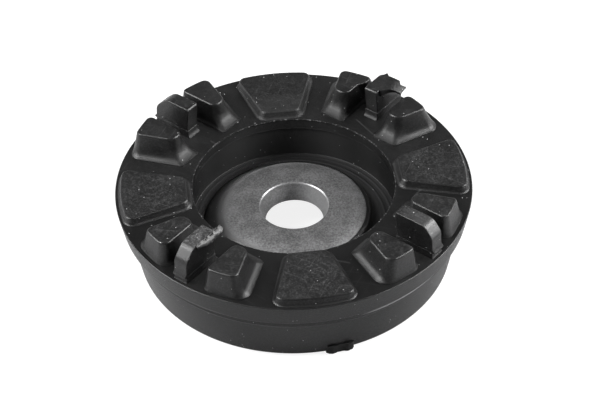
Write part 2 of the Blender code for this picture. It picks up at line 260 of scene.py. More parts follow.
def makeRing():
    bottom = plateLow.z
    throat = recessRadius + ring["lipFlare"]
    wall = throat + ring["lipStep"]
    webFloor = plateTop - ring["webDrop"]
    webBottom = bottom - ring["webHang"]
    hollow = wall + ring["hollowSetback"]
    flangeBottom = ringTop - ring["flangeDepth"]
    shoulder = flangeBottom - ring["shoulderDepth"]
    flangeFoot = rimRadius - ring["flangeTaper"]
    groove = flangeFoot - ring["flangeStep"]
    wallTop = groove - ring["shoulderWidth"]
    lip = ringTop - ring["lipDepth"]
    covered = plateRadius - ring["edgeCover"]
    rolled = plateTop - plate["dome"]
    cover = ring["coverThickness"]
    hold = plateRadius + ring["bondGap"]
    web = [(wall - inwards, webFloor + up, rounding, segments)
           for inwards, up, rounding, segments in ring["webSteps"]]
    ridge = [(throat - inwards, lip + up, rounding, segments)
             for inwards, up, rounding, segments in ring["lipSteps"]]
    under = bottom - ring["underGap"]
    corners = [
        (hollow, 0.0, ring["hollowRounding"], 5),
        (wallTop - ring["wallTaper"], 0.0, ring["footRounding"], 6),
        (wallTop, shoulder, ring["shoulderRounding"], 3),
        (groove, shoulder + ring["shoulderWidth"], ring["grooveRounding"], 3),
        (groove, flangeBottom - ring["grooveCorner"], 0.1, 2),
        (flangeFoot, flangeBottom, ring["flangeRounding"], 4),
        (rimRadius + ring["rimOverhang"], ringTop - ring["rimChamfer"], 0.06, 3),
        (rimRadius + ring["rimOverhang"] - ring["rimChamfer"], ringTop, 0.08, 3),
        (recessRadius, ringTop, 0.09, 2),
        *ridge,
        (wall, lip - ring["lipStep"], 0.08, 2),
        *web,
        (plateRadius, plateTop - ring["coverDrop"], ring["coverRounding"], 5),
        (covered, rolled + ring["coverEdge"], 0.08, 3),
        (covered, rolled + ring["coverGap"], 0.0, 0),
        (hold, rolled - plate["edgeFall"] + ring["coverGap"], 0.0, 0),
        (hold, bottom + plate["heel"] - ring["bondGap"], 0.0, 0),
        (covered, under, 0.0, 0),
        (covered, under - cover, 0.25, 3),
        (hold + cover, under - cover, ring["underRounding"], 4),
        (hold + cover + ring["webHang"], webBottom, ring["hollowRounding"], 5),
        (hollow - ring["hollowFlare"], webBottom, ring["hollowRounding"], 5),
    ]
    shape = spinShape(corners, ring["steps"])
    smearCover(shape, webFloor, covered)
    return meshObject("rubberRing", shape)


def smearCover(shape, webFloor, covered):
    # on the left the rubber runs off the plate in one smooth slope instead of ending in a step
    tiny = 0.01
    start = plateTop - plate["dome"] + ring["smearLift"]
    for vert in shape.verts:
        along = vert.co.xy.length - covered
        if not -tiny < along < ring["smearReach"] or vert.co.z < webFloor + 5 * tiny:
            continue
        slope = start - ring["smearSlope"] * along - ring["smearCurve"] * along ** 2
        onWeb = along > ring["smearEdge"] and vert.co.z < slope
        if onWeb or vert.co.z > slope:
            share = min(max((-vert.co.x - ring["smearStart"]) / ring["smearWidth"], 0.0), 1.0)
            vert.co.z += share * share * (3 - 2 * share) * (slope - vert.co.z)


def sideOffset(level, height, draft, fillet, flare=1.0):
    # how far a drafted side stands out from its top edge; the root fillet is cut off a little above
    # its lowest point, so it meets the ring at a slope and ends crisply
    cutOff = 0.073
    share = min(max(level / height, 0.0), 1.0) ** flare
    low = min(max(level, cutOff * fillet), fillet)
    return draft * (1 - share) + fillet - math.sqrt(fillet ** 2 - (fillet - low) ** 2)


def raiseBoss(shape, cornersAt, height, fillet, edge, turn, mirrored=False):
    # cornersAt gives the outline at a level above the ring's top; the top edge is rounded
    cornerSteps = 7

    def section(level, inset):
        outline = roundedOutline(grownCorners(cornersAt(level), -inset), cornerSteps)
        return [Vector((point.x, point.y, ringTop + level)) for point in outline]

    high = height - edge
    rootAngles = [math.radians(angle) for angle in (22, 28, 35, 43, 52, 61, 72, 84)]
    levels = [-rootDepth] + [fillet * (1 - math.cos(angle)) for angle in rootAngles]
    levels += [levels[-1] + (high - levels[-1]) * share for share in (0.2, 0.4, 0.6, 0.8)]
    sections = [section(level, 0.0) for level in levels]
    for angle in (math.radians(angle) for angle in (0, 22, 45, 68, 90)):
        sections.append(section(high + edge * math.sin(angle), edge * (1 - math.cos(angle))))
    placement = Matrix.Rotation(turn, 4, "Z")
    if mirrored:
        placement = placement @ Matrix.Scale(-1, 4, (0, 1, 0))
    loftShape(shape, sections, placement)


# four wide low pads
pad = {
    "height": 1.8,
    "innerMargin": 1.9,
    "rimMargin": 1.4,
    "innerWidth": 9.1,
    "outerWidth": 19.0,
    "corner": 1.6,
    "innerDraft": 0.8,
    "fanDraft": 0.85,
    "rimDraft": 0.5,
    "fillet": 0.55,
    "edge": 0.35,
    "rimSteps": 18,
}


def padCorners(level):
    def offset(draft):
        return sideOffset(level, pad["height"], draft, pad["fillet"])

    innerRadius = recessRadius + pad["innerMargin"] - offset(pad["innerDraft"])
    outerRadius = rimRadius - pad["rimMargin"] + offset(pad["rimDraft"])
    innerHalf = pad["innerWidth"] / 2 + offset(pad["fanDraft"])
    outerHalf = pad["outerWidth"] / 2 + offset(pad["fanDraft"])
    innerX = math.sqrt(innerRadius ** 2 - innerHalf ** 2)
    outerX = math.sqrt(outerRadius ** 2 - outerHalf ** 2)
    end = math.asin(outerHalf / outerRadius)
    corner = pad["corner"] + offset(pad["fanDraft"])
    rim = arcCorners(outerRadius, -end, end, pad["rimSteps"], corner)
    return [(innerX, innerHalf, corner), (innerX, -innerHalf, corner),
            (outerX, -outerHalf, corner), *rim, (outerX, outerHalf, corner)]


def makePads(shape):
    for number in range(4):
        raiseBoss(shape, padCorners, pad["height"], pad["fillet"], pad["edge"], number * quarter)


# four thin ribs, with a tall block on each side of every rib; a rib stands on a low foot
rib = {
    "height": 9.0,
    "width": 3.75,
    "crestInner": 6.8,
    "footInner": 7.6,
    "rimMargin": 1.05,
    "lean": 0.2,
    # the lip on the rim end, level with the foot's top, and the slopes below and above it
    "lipReach": 0.6,
    "lipThickness": 0.25,
    "lipBelow": 0.25,
    "lipAbove": 0.6,
    # how far each rib's shoulder reaches along its crest, and down its end
    "shoulders": ((3.8, 3.4), (3.8, 3.4), (3.3, 3.2), (2.5, 2.8)),
    "crestRounding": 0.7,
    "edge": 0.22,
    "cornerSteps": 10,
    "footHeight": 2.0,
    "footStep": 0.25,
    "footMargin": 0.04,
    "footSpread": 0.12,
    "footCorner": 0.15,
    "footEdge": 0.12,
    "fillet": 1.1,
    "rimFillet": 0.4,
}
block = {
    "height": 6.0,
    "ribSpace": 4.35,
    "setback": 5.1,
    "rimMargins": (4.1, 2.4, 2.4, 2.4),
    "innerWidth": 3.9,
    "fanAngle": math.radians(23),
    "innerCorner": 2.6,
    "footCorner": 0.35,
    "cornerFlare": 0.35,
    "flare": 0.8,
    "innerDraft": 2.4,
    "innerFillet": 2.5,
    "footRimMargin": 1.2,
    "rimFillet": 0.45,
    "ribDraft": 1.0,
    "ribFillet": 1.1,
    "fanDraft": 1.0,
    "fanFillet": 1.1,
    "edge": 0.4,
    # how far the rim end of each block leans over to its rib, and where the bend starts and ends
    "hooks": ((1.2, 0.0), (0.0, 0.0), (0.0, 0.0), (0.0, 0.0)),
    "hookStart": 4.6,
    "hookEnd": 2.6,
    "hookRounding": 1.6,
    # roundings of the upright corners at the rim, on the rib's side and on the pad's side
    "rimCorners": (((1.4, 1.4), (1.4, 1.6)), ((1.4, 1.4), (1.0, 1.6)),
                   ((1.1, 1.6), (2.5, 1.3)), ((1.4, 1.1), (1.0, 2.5))),
    "rimSteps": 5,
}


def blockCorners(level, rimMargin, hook, ribRounding, padRounding):
    def offset(draft, fillet):
        return sideOffset(level, block["height"], draft, fillet, block["flare"])

    share = min(max(level / block["height"], 0.0), 1.0) ** block["cornerFlare"]
    innerCorner = block["footCorner"] + (block["innerCorner"] - block["footCorner"]) * share
    innerX = recessRadius + block["setback"] - offset(block["innerDraft"], block["innerFillet"])
    outerRadius = rimRadius - rimMargin + offset(rimMargin - block["footRimMargin"], block["rimFillet"])
    ribTop = rib["width"] / 2 + block["ribSpace"]
    ribSide = ribTop - offset(block["ribDraft"], block["ribFillet"])
    fanSide = ribTop + block["innerWidth"] + offset(block["fanDraft"], block["fanFillet"])
    start = Vector((innerX, fanSide))
    fan = Vector((math.cos(block["fanAngle"]), math.sin(block["fanAngle"])))
    ahead = start.dot(fan)
    fanEnd = start + fan * (math.sqrt(ahead ** 2 - start.length_squared + outerRadius ** 2) - ahead)
    hooked = ribSide - hook
    ribEnd = Vector((math.sqrt(outerRadius ** 2 - hooked ** 2), hooked))
    bend = [(ribEnd.x - block["hookStart"], ribSide, block["hookRounding"]),
            (ribEnd.x - block["hookEnd"], hooked, block["hookRounding"])] if hook else []
    ribRounding += offset(block["ribDraft"], block["ribFillet"])
    padRounding += offset(block["fanDraft"], block["fanFillet"])
    rim = arcCorners(outerRadius, math.atan2(ribEnd.y, ribEnd.x), math.atan2(fanEnd.y, fanEnd.x),
                     block["rimSteps"], max(ribRounding, padRounding))
    return [(innerX, fanSide, innerCorner), (innerX, ribSide, innerCorner), *bend,
            (ribEnd.x, ribEnd.y, ribRounding), *rim, (fanEnd.x, fanEnd.y, padRounding)]


def makeBlocks(shape):
    for number, rimMargin in enumerate(block["rimMargins"]):
        for mirrored, roundings in enumerate(block["rimCorners"][number]):
            hook = block["hooks"][number][mirrored]
            raiseBoss(shape, lambda level: blockCorners(level, rimMargin, hook, *roundings), block["height"],
                      block["innerFillet"], block["edge"], (number + 0.5) * quarter, mirrored)


def makeRibs(shape):
    crestInner = recessRadius + rib["crestInner"]
    footInner = recessRadius + rib["footInner"]
    outer = rimRadius - rib["rimMargin"]
    lip = outer + rib["lipReach"]
    ledge = rib["footHeight"]
    lipBottom = ledge - rib["lipThickness"]
    crest = rib["height"]
    edge = rib["edge"]
    full = rib["width"] / 2 - edge
    steps = [math.radians(angle) for angle in (0, 30, 60, 90)]
    offsets = [(-full - edge * math.cos(angle), edge * (1 - math.sin(angle))) for angle in steps]
    offsets += [(-offset, inset) for offset, inset in reversed(offsets)]
    for number, (shoulderWidth, shoulderDrop) in enumerate(rib["shoulders"]):
        side = [
            (footInner, -rootDepth, 0.0),
            (outer, -rootDepth, 0.0),
            (outer, lipBottom - rib["lipBelow"], 0.0),
            (lip, lipBottom, 0.0),
            (lip, ledge, 0.0),
            (outer, ledge + rib["lipAbove"], 0.0),
            (outer - rib["lean"], crest - shoulderDrop, shoulderDrop),
            (outer - shoulderWidth, crest, shoulderWidth),
            (crestInner, crest, rib["crestRounding"]),
            (footInner, ledge, 0.0),
        ]
        placement = Matrix.Rotation((number + 0.5) * quarter, 4, "Z")
        sections = [[Vector((point.x, offset, ringTop + point.y))
                     for point in roundedOutline(grownCorners(side, -inset), rib["cornerSteps"])]
                    for offset, inset in offsets]
        loftShape(shape, sections, placement)


def ribFootCorners(level):
    spread = sideOffset(level, rib["footHeight"], 0.0, rib["fillet"])
    inner = recessRadius + rib["footInner"] - rib["footStep"] - spread
    outer = rimRadius - rib["rimMargin"] + sideOffset(level, rib["footHeight"], 0.0, rib["rimFillet"])
    half = rib["width"] / 2 + rib["footMargin"] + rib["footSpread"] * spread
    corner = rib["footCorner"]
    return [(inner, half, corner), (inner, -half, corner), (outer, -half, corner), (outer, half, corner)]


def makeRibFeet(shape):
    for number in range(4):
        raiseBoss(shape, ribFootCorners, rib["footHeight"], rib["fillet"], rib["footEdge"],
                  (number + 0.5) * quarter)


# torn flash left by the mould, with outlines in the axes of the rib that carries it
flash = {
    "flapLift": 0.1,
    "flapThickness": 0.55,
    "flapDrop": 1.9,
    "flapCurve": 1.5,
    "flapReach": 4.2,
    # how much thicker the flap is at the rib's side, and how fast that falls off along its reach
    "flapWedge": 2.4,
    "wedgeFall": 1.6,
    "stripLift": 0.08,
    "stripThickness": 0.5,
    "stripStart": 1.7,
    "stripSink": 0.4,
    "stripSlope": 0.96,
    "lumpThickness": 2.2,
    "lumpLift": 0.3,
    "lumpAngle": math.radians(-81.5),
    "longestEdge": 1.2,
    "raggedScale": 1.7,
    "raggedSize": 0.12,
    "waveScale": 0.9,
    "waveSize": 0.04,
}
flapOutline = [(33.2, -1.2), (36.5, 0.6), (38.49, 1.27), (39.17, 0.89), (39.96, 0.59), (39.17, -0.5),
               (39.33, -2.13), (39.67, -3.52), (38.84, -4.32), (39.71, -5.44), (37.84, -5.5), (36.82, -5.79),
               (36.35, -4.7), (35.3, -3.4), (33.02, -2.3)]
stripOutline = [(38.6, 1.2), (32.4, 1.2), (30.7, 1.49), (29.84, 1.77), (29.8, 2.42), (30.84, 2.95),
                (31.71, 2.99), (32.94, 2.83), (34.32, 2.98), (35.87, 2.92), (37.44, 2.59), (38.78, 2.2)]
# the lump's x counts from the foot of the wall
lumpOutline = [(-1.9, -3.4), (0.3, -3.3), (0.8, -2.7), (1.1, -1.9), (0.8, -0.6),
               (0.8, 0.6), (1.1, 1.8), (0.9, 2.9), (0.3, 3.5), (-1.9, 3.6)]


def tornSheet(outline, thickness, droop, number):
    # a torn outline is filled, divided, bent by its droop and given its thickness at each point
    sheet = bmesh.new()
    face = sheet.faces.new([sheet.verts.new((x, y, 0)) for x, y in outline])
    bmesh.ops.subdivide_edges(sheet, edges=face.edges[:], cuts=2)
    bmesh.ops.triangulate(sheet, faces=sheet.faces)
    long = [edge for edge in sheet.edges if edge.calc_length() > flash["longestEdge"]]
    bmesh.ops.subdivide_edges(sheet, edges=long, cuts=2)
    bmesh.ops.triangulate(sheet, faces=sheet.faces)
    for vert in sheet.verts:
        size = flash["raggedSize"] if vert.is_boundary else 0.0
        ragged = noise.noise(vert.co * flash["raggedScale"]) * size
        vert.co.x += ragged
        vert.co.y += ragged
        vert.co.z = droop(vert.co) + flash["waveSize"] * noise.noise(vert.co * flash["waveScale"])
    upper = sheet.faces[:]
    made = bmesh.ops.extrude_face_region(sheet, geom=upper)["geom"]
    for vert in (item for item in made if isinstance(item, bmesh.types.BMVert)):
        vert.co.z -= thickness(vert.co)
    bmesh.ops.recalc_face_normals(sheet, faces=sheet.faces)
    bmesh.ops.transform(sheet, matrix=Matrix.Rotation((number + 0.5) * quarter, 4, "Z"), verts=sheet.verts)
    return meshObject("tornSheet", sheet)


def makeFlap():
    # the flap is thickest where it leaves the rib's side
    def reach(point):
        return max(-rib["width"] / 2 - point.y, 0.0) / flash["flapReach"]

    def droop(point):
        fall = flash["flapDrop"] * reach(point) ** flash["flapCurve"]
        return ringTop + rib["height"] + flash["flapLift"] - fall

    def thickness(point):
        wedge = max(1 - flash["wedgeFall"] * reach(point), 0.0)
        return flash["flapThickness"] * (1 + flash["flapWedge"] * wedge)

    return tornSheet(flapOutline, thickness, droop, 0)


def makeStrip():
    # the strip sinks into the crest on one side and hangs down on the other
    def droop(point):
        past = point.y - flash["stripStart"]
        level = ringTop + rib["height"] + flash["stripLift"]
        return level + flash["stripSink"] * min(past, 0.0) - flash["stripSlope"] * max(past, 0.0)

    return tornSheet(stripOutline, lambda point: flash["stripThickness"], droop, 2)


def makeLump():
    foot = rimRadius - ring["flangeTaper"] - ring["flangeStep"] - ring["shoulderWidth"] - ring["wallTaper"]
    outline = [(foot + x, y) for x, y in lumpOutline]
    top = flash["lumpThickness"] + flash["lumpLift"]
    return tornSheet(outline, lambda point: flash["lumpThickness"], lambda point: top,
                     flash["lumpAngle"] / quarter - 0.5)


def makeRubberBody(material):
    body = makeRing()
    low = bmesh.new()
    makePads(low)
    makeBlocks(low)
    makeRibFeet(low)
    joinInto(body, meshObject("padsAndBlocks", low))
    tall = bmesh.new()
    makeRibs(tall)
    joinInto(body, meshObject("ribs", tall))
    for piece in (makeFlap(), makeStrip(), makeLump()):
        joinInto(body, piece)
    body.name = "rubberBody"
    finishPiece(body, material, "rubber_body")


# the steel plate, with its rolled edge and tapered bore
plate = {
    "steps": 256,
    "dome": 1.4,
    "edgeFall": 0.8,
    "domeStart": 11.0,
    "domeShoulder": 15.2,
    "shoulderFall": 0.42,
    "heel": 0.4,
    "heelWidth": 1.2,
    "boreTop": 8.4,
    "boreBottom": 7.2,
    "boreEdge": 0.3,
}


def makePlate(material):
    covered = plateRadius - ring["edgeCover"]
    corners = [
        (plate["boreBottom"], plateLow.z, 0.1, 2),
        (plateRadius - plate["heelWidth"], plateLow.z, 0.2, 2),
        (plateRadius, plateLow.z + plate["heel"], 0.0, 0),
        (plateRadius, plateTop - plate["dome"] - plate["edgeFall"], 0.0, 0),
        (covered, plateTop - plate["dome"], 0.1, 2),
        (plate["domeShoulder"], plateTop - plate["shoulderFall"], 1.7, 7),
        (plate["domeStart"], plateTop, 1.7, 5),
        (plate["boreTop"] + plate["boreEdge"], plateTop, 0.12, 3),
        (plate["boreTop"], plateTop - plate["boreEdge"], 0.12, 3),
    ]
    made = meshObject("centrePlate", spinShape(corners, plate["steps"]))
    finishPiece(made, material, "centre_plate")


class Signal:
    # a number that changes over a surface; sums and products of it add Math nodes
    def __init__(self, paint, socket):
        self.paint = paint
        self.socket = socket

    def combine(self, operation, first, second):
        return self.paint.add("Math", {"operation": operation}, {0: first, 1: second})

    def __add__(self, other):
        return self.combine("ADD", self, other)

    def __radd__(self, other):
        return self.combine("ADD", other, self)

    def __sub__(self, other):
        return self.combine("SUBTRACT", self, other)

    def __rsub__(self, other):
        return self.combine("SUBTRACT", other, self)

    def __mul__(self, other):
        return self.combine("MULTIPLY", self, other)

    def __rmul__(self, other):
        return self.combine("MULTIPLY", other, self)

    def __pow__(self, other):
        return self.combine("POWER", self, other)


class Paint:
    # one material and the nodes that feed its shader; places are in millimetres on the object
    def __init__(self, name):
        self.material = bpy.data.materials.new(name)
        self.material.use_nodes = True
        self.tree = self.material.node_tree
        self.shader = self.tree.nodes["Principled BSDF"]

    def add(self, kind, settings, inputs, output=0):
        node = self.tree.nodes.new("ShaderNode" + kind)
        for name, value in settings.items():
            setattr(node, name, value)
        for name, value in inputs.items():
            self.feed(node.inputs[name], value)
        return Signal(self, node.outputs[output])

    def feed(self, socket, value):
        if isinstance(value, Signal):
            self.tree.links.new(value.socket, socket)
        else:
            socket.default_value = value

    def set(self, **inputs):
        for name, value in inputs.items():
            self.feed(self.shader.inputs[name.replace("_", " ")], value)

    def place(self):
        return self.add("VectorMath", {"operation": "SCALE"}, {0: self.add("TexCoord", {}, {}, 3), 3: 1 / mm})

    def split(self, vector):
        node = self.add("SeparateXYZ", {}, {0: vector}).socket.node
        return [Signal(self, output) for output in node.outputs]

    def facing(self):
        # one where a surface faces up, nought where it is upright
        return self.split(self.add("NewGeometry", {}, {}, 1))[2]

    def fade(self, value, low, high):
        # nought at low and one at high, with soft ends
        return self.add("MapRange", {"interpolation_type": "SMOOTHSTEP"},
                        {"Value": value, "From Min": low, "From Max": high})

    def band(self, value, low, high, soft):
        # one between low and high, and nought outside them
        return self.fade(value, low - soft, low + soft) * self.fade(value, high + soft, high - soft)

    def swirl(self, place, x, y, size):
        # uneven rings round a point, fading outwards
        closeness, unevenness = 4.0, 22.0
        across, along, _ = self.split(place)
        spread = ((across - x) ** 2 + (along - y) ** 2) ** 0.5
        bends = self.clouds(place, 0.22) * unevenness
        rings = self.add("Math", {"operation": "SINE"}, {0: spread * closeness + bends})
        return self.fade(rings, -0.2, 1.0) * self.fade(spread, size, 0.3 * size)

    def clouds(self, place, scale, detail=2.0, roughness=0.5, swirl=0.0):
        return self.add("TexNoise", {}, {"Vector": place, "Scale": scale, "Detail": detail,
                                         "Roughness": roughness, "Distortion": swirl})

    def stroke(self, flatPlace, start, end, width):
        # one along a straight mark, and nought away from it
        run = Vector((end[0] - start[0], end[1] - start[1], 0))
        perLength = run / run.length_squared
        offset = self.add("VectorMath", {"operation": "SUBTRACT"}, {0: flatPlace, 1: (*start, 0)})
        share = self.add("VectorMath", {"operation": "DOT_PRODUCT"}, {0: offset, 1: perLength}, 1)
        share = self.add("Math", {"operation": "MULTIPLY", "use_clamp": True}, {0: share, 1: 1.0})
        nearest = self.add("VectorMath", {"operation": "SCALE"}, {0: run, 3: share})
        away = self.add("VectorMath", {"operation": "DISTANCE"}, {0: offset, 1: nearest}, 1)
        return self.fade(away, width, 0.3 * width)

    def scratches(self, place, angle, seed):
        # long thin scratches that wander about one direction and break off
        turned = self.add("Mapping", {}, {"Vector": place, "Rotation": (0, 0, angle),
                                          "Location": (seed, seed, 0)})
        waves = self.add("TexWave", {}, {"Vector": turned, "Scale": 0.11, "Distortion": 5.0, "Detail": 2.0,
                                         "Detail Scale": 0.35}, 1)
        return self.fade(waves, 0.99, 0.999) * self.fade(self.clouds(turned, 0.12), 0.56, 0.66)

    def specks(self, place, scale, size, share):
        # scattered round specks, in a share of the cells of the given scale
        cells = self.add("TexVoronoi", {}, {"Vector": place, "Scale": scale})
        chosen = self.add("SeparateColor", {}, {0: Signal(self, cells.socket.node.outputs["Color"])})
        return self.fade(cells, size, 0.5 * size) * self.fade(chosen, 1 - share, 1.02 - share)

    def mixColours(self, share, first, second):
        return self.add("Mix", {"data_type": "RGBA"}, {0: share, 6: first, 7: second}, 2)

    def grey(self, value):
        return (value, value, value * 1.01, 1.0)


def rubberMaterial():
    look = {
        # greys of the rubber, of what lies on it and of its painted light
        "deep": 0.002,
        "film": 0.005,
        "wornAndPaintedLight": 0.13,
        "flangeHighlightGrey": 0.3,
        "smear": 0.11,
        "fleck": 0.35,
        "dust": 0.6,
        # how strongly each kind of wear, film and painted light shows
        "padWear": 0.13,
        "blockWear": 0.12,
        "ribWear": 0.21,
        "frontLeftRibPaleness": 0.38,
        "shoulderPaintedHighlight": 0.5,
        "ringWear": 0.05,
        "powder": 0.13,
        "webPaintedLight": 0.12,
        "shadedWebPaintedLight": 0.35,
        "recessBackPaintedLight": 0.16,
        "rightFlangeHighlight": 0.75,
        "leftFlangeHighlight": 0.225,
        "scratchShare": 0.22,
        "strokeShare": 0.16,
        "smearShare": 0.9,
        "fleckShare": 0.55,
        # roughness, and what some places add to it
        "roughness": 0.36,
        "blotchRoughness": 0.12,
        "wearRoughness": 0.25,
        "toeRoughness": 0.06,
        "backToeRoughness": 0.14,
        "recessRoughness": 0.3,
        "tornRoughness": 0.4,
        "grain": 0.00009,
        "grainStrength": 0.6,
        "stripePitch": 0.42,
        # scratches by angle and seed, specks by scale, size and share, swirls by place and size
        "scratches": ((0.5, 3.0), (-0.9, 11.0), (1.9, 27.0)),
        "specks": ((0.42, 0.06, 0.4), (0.9, 0.11, 0.18)),
        "swirls": ((-34.6, 1.4, 9.0), (33.5, 3.0, 7.0), (1.5, -35.0, 7.0), (-32.0, 18.0, 4.0)),
        "strokeWidth": 0.3,
        "strokes": (((-18.6, 19.3), (-17.5, 18.0)), ((-17.5, 18.0), (-15.6, 18.9)),
                    ((19.0, 22.2), (22.8, 14.8)), ((27.9, -9.5), (30.3, -6.9)),
                    ((30.3, -6.9), (34.5, -7.0)), ((4.0, -27.5), (9.5, -30.0))),
    }
    paint = Paint("mouldedRubber")
    place = paint.place()
    across, along, height = paint.split(place)
    radius = (across ** 2 + along ** 2) ** 0.5
    level = height - ringTop
    facing = paint.facing()
    flat = paint.fade(facing, 0.93, 0.985)
    blotches = paint.clouds(place, 0.16, 4.0, 0.6)
    patches = paint.fade(paint.clouds(place, 0.28, 5.0, 0.7, 2.2), 0.36, 0.66)
    grain = paint.clouds(place, 3.2, 4.0, 0.75)
    speckle = paint.fade(paint.clouds(place, 2.6, 3.0, 0.7), 0.42, 0.68)

    # wear on the flat tops of the pads, the blocks, the ribs and the ring, weaker towards the rear; the front
    # left rib's top is paler still, with fine stripes
    pads = paint.band(level, 1.6, 2.0, 0.15) * look["padWear"]
    blocks = paint.band(level, 5.8, 6.2, 0.15) * look["blockWear"]
    ribTop = paint.fade(level, 8.6, 8.9)
    frontLeft = across * -math.sqrt(0.5) - along * math.sqrt(0.5)
    stripes = paint.add("Math", {"operation": "SINE"}, {0: frontLeft * (math.tau / look["stripePitch"])})
    striped = ribTop * paint.fade(frontLeft, 15, 20) * look["frontLeftRibPaleness"] * (1 + 0.3 * stripes)
    ringFlat = paint.band(level, -0.2, 0.3, 0.15)
    top = pads + blocks + ribTop * look["ribWear"] + striped
    top = top + ringFlat * paint.fade(along, -15, 25) * look["ringWear"]
    rear = 1 - 0.5 * paint.fade(along, -10, 25)
    swirls = sum(paint.swirl(place, *swirl) for swirl in look["swirls"])
    wear = flat * top * rear * (0.25 + 1.1 * patches + 0.7 * swirls) * (0.25 + 1.5 * speckle)

    # scratches on the tops, a few straight marks on the ring, and dust
    scratches = sum(paint.scratches(place, *scratch) for scratch in look["scratches"])
    scratches = scratches * flat * paint.fade(level, -1.0, -0.5) * (0.35 + 0.65 * paint.fade(level, 1.2, 1.6))
    onFloor = paint.add("VectorMath", {"operation": "MULTIPLY"}, {0: place, 1: (1, 1, 0)})
    strokes = sum(paint.stroke(onFloor, start, end, look["strokeWidth"]) for start, end in look["strokes"])
    marks = scratches * look["scratchShare"] + strokes * ringFlat * look["strokeShare"]
    dust = sum(paint.specks(place, *specks) for specks in look["specks"])

    # the thin smear of rubber that runs off the plate, and the flecks of the recess's torn edge
    smear = paint.fade(radius, 20.6, 18.0) * paint.fade(across, -4, -12) * paint.band(level, -10.8, -7.0, 0.2)
    fleckNoise = paint.fade(paint.clouds(place, 1.9, 4.0, 0.7), 0.52, 0.63)
    flecks = paint.band(radius, 24.8, 25.12, 0.12) * paint.fade(level, -0.35, -0.1) * fleckNoise

    # the web painted paler as painted light, most where the plate shades it; the back of the recess painted
    # paler as painted light; and the torn lump
    # painted light: the web is made paler, most of all in the shade beside the plate
    shaded = paint.fade(radius, 22.8, 20.8) * (paint.fade(across, -9, -16) + 0.4 * paint.fade(across, 9, 16))
    web = paint.band(radius, 18.6, 25.3, 0.2) * paint.band(level, -12.2, -8.4, 0.2)
    web = web * (look["webPaintedLight"] + look["shadedWebPaintedLight"] * shaded)
    recess = paint.band(radius, 24.6, 26.0, 0.1) * paint.band(level, -11.8, -0.5, 0.3)
    # painted light on the back wall of the recess
    recessBack = recess * paint.fade(along, 18, 24.5) * look["recessBackPaintedLight"]
    torn = paint.fade(radius, 39.45, 39.75) * paint.fade(level, 3.0 - ringTop, 2.6 - ringTop)
    powder = speckle * paint.fade(facing, 0.9, 0.3) * (1 - recess) * (1 - torn) * look["powder"]

    # painted highlight lines just under the flange on the right and on its lower edge on the left
    flangeHighlight = paint.band(level, -7.3, -6.85, 0.1) * paint.fade(across, 10, 15) * look["rightFlangeHighlight"]
    flangeHighlight = flangeHighlight + paint.band(level, -5.7, -5.35, 0.1) * paint.fade(across, -17, -24) * look["leftFlangeHighlight"]
    flangeHighlight = flangeHighlight * paint.fade(radius, 41.0, 41.4)

    # a painted highlight on the shoulder of the front right rib, and the toes of the fillets, which shine
    # less at the back
    shoulder = paint.band(level, 6.0, 8.9, 0.4) * paint.fade(across, 22, 25) * paint.fade(along, -22, -25)
    shoulder = shoulder * paint.fade(facing, 0.1, 0.5) * look["shoulderPaintedHighlight"]
    toe = paint.band(level, 0.1, 1.2, 0.15) * paint.band(facing, 0.3, 0.92, 0.1)
    backToe = paint.band(level, 0.1, 3.0, 0.3) * paint.fade(radius, 34, 32) * paint.fade(along, -2, 6)

    colour = paint.mixColours(blotches, paint.grey(look["deep"]), paint.grey(look["film"]))
    # powder, wear and marks are real; the web, recess back and shoulder shares mix in painted light
    for share, value in ((powder + web + recessBack + shoulder, "wornAndPaintedLight"), (flangeHighlight, "flangeHighlightGrey"), (wear, "wornAndPaintedLight"),
                         (marks, "wornAndPaintedLight"), (smear * look["smearShare"], "smear"),
                         (flecks * look["fleckShare"], "fleck"), (dust, "dust")):
        colour = paint.mixColours(share, colour, paint.grey(look[value]))
    roughness = look["roughness"] + look["blotchRoughness"] * (blotches - 0.5) + look["wearRoughness"] * wear
    roughness = roughness + look["toeRoughness"] * toe + look["backToeRoughness"] * backToe
    roughness = roughness + look["recessRoughness"] * recess * paint.fade(along, 6, 18)
    roughness = roughness + look["tornRoughness"] * torn
    bump = paint.add("Bump", {}, {"Strength": look["grainStrength"], "Distance": look["grain"],
                                  "Height": grain})
    paint.set(Base_Color=colour, Roughness=roughness, Normal=bump, IOR=1.5)
    return paint.material


def steelMaterial():
    look = {
        "dark": 0.10,
        "light": 0.33,
        "film": 0.09,
        # the bore's turned face has a painted sheen, and a painted reflection makes it paler still on the
        # right
        "bore": 0.8,
        "boreSheenShare": 0.12,
        "boreRightReflectionShare": 0.28,
        "metallic": 0.8,
        "roughness": 0.44,
        "speckleRoughness": 0.15,
        "grain": 0.00005,
        "grainStrength": 0.3,
    }
    paint = Paint("plateSteel")
    place = paint.place()
    across, along, _ = paint.split(place)
    radius = (across ** 2 + along ** 2) ** 0.5
    speckle = paint.clouds(place, 2.1, 4.0, 0.7)
    blotches = paint.clouds(place, 0.24, 3.0, 0.5)
    share = paint.fade(speckle * 0.7 + blotches * 0.3, 0.3, 0.7)
    colour = paint.mixColours(share, paint.grey(look["dark"]), paint.grey(look["light"]))
    film = paint.fade(radius + blotches * 2, 16.6, 19.2) * (0.35 + 0.65 * paint.fade(across, -4, -12))
    # painted sheen and painted reflection on the bore
    bore = look["boreSheenShare"] + look["boreRightReflectionShare"] * paint.fade(across, 0, 7)
    bore = paint.fade(radius, 8.75, 8.45) * bore
    colour = paint.mixColours(bore, colour, paint.grey(look["bore"]))
    colour = paint.mixColours(film, colour, paint.grey(look["film"]))
    roughness = look["roughness"] + look["speckleRoughness"] * (speckle - 0.5)
    bump = paint.add("Bump", {}, {"Strength": look["grainStrength"], "Distance": look["grain"],
                                  "Height": speckle})
    paint.set(Base_Color=colour, Roughness=roughness, Normal=bump,
              Metallic=look["metallic"] - look["metallic"] * film)
    return paint.material


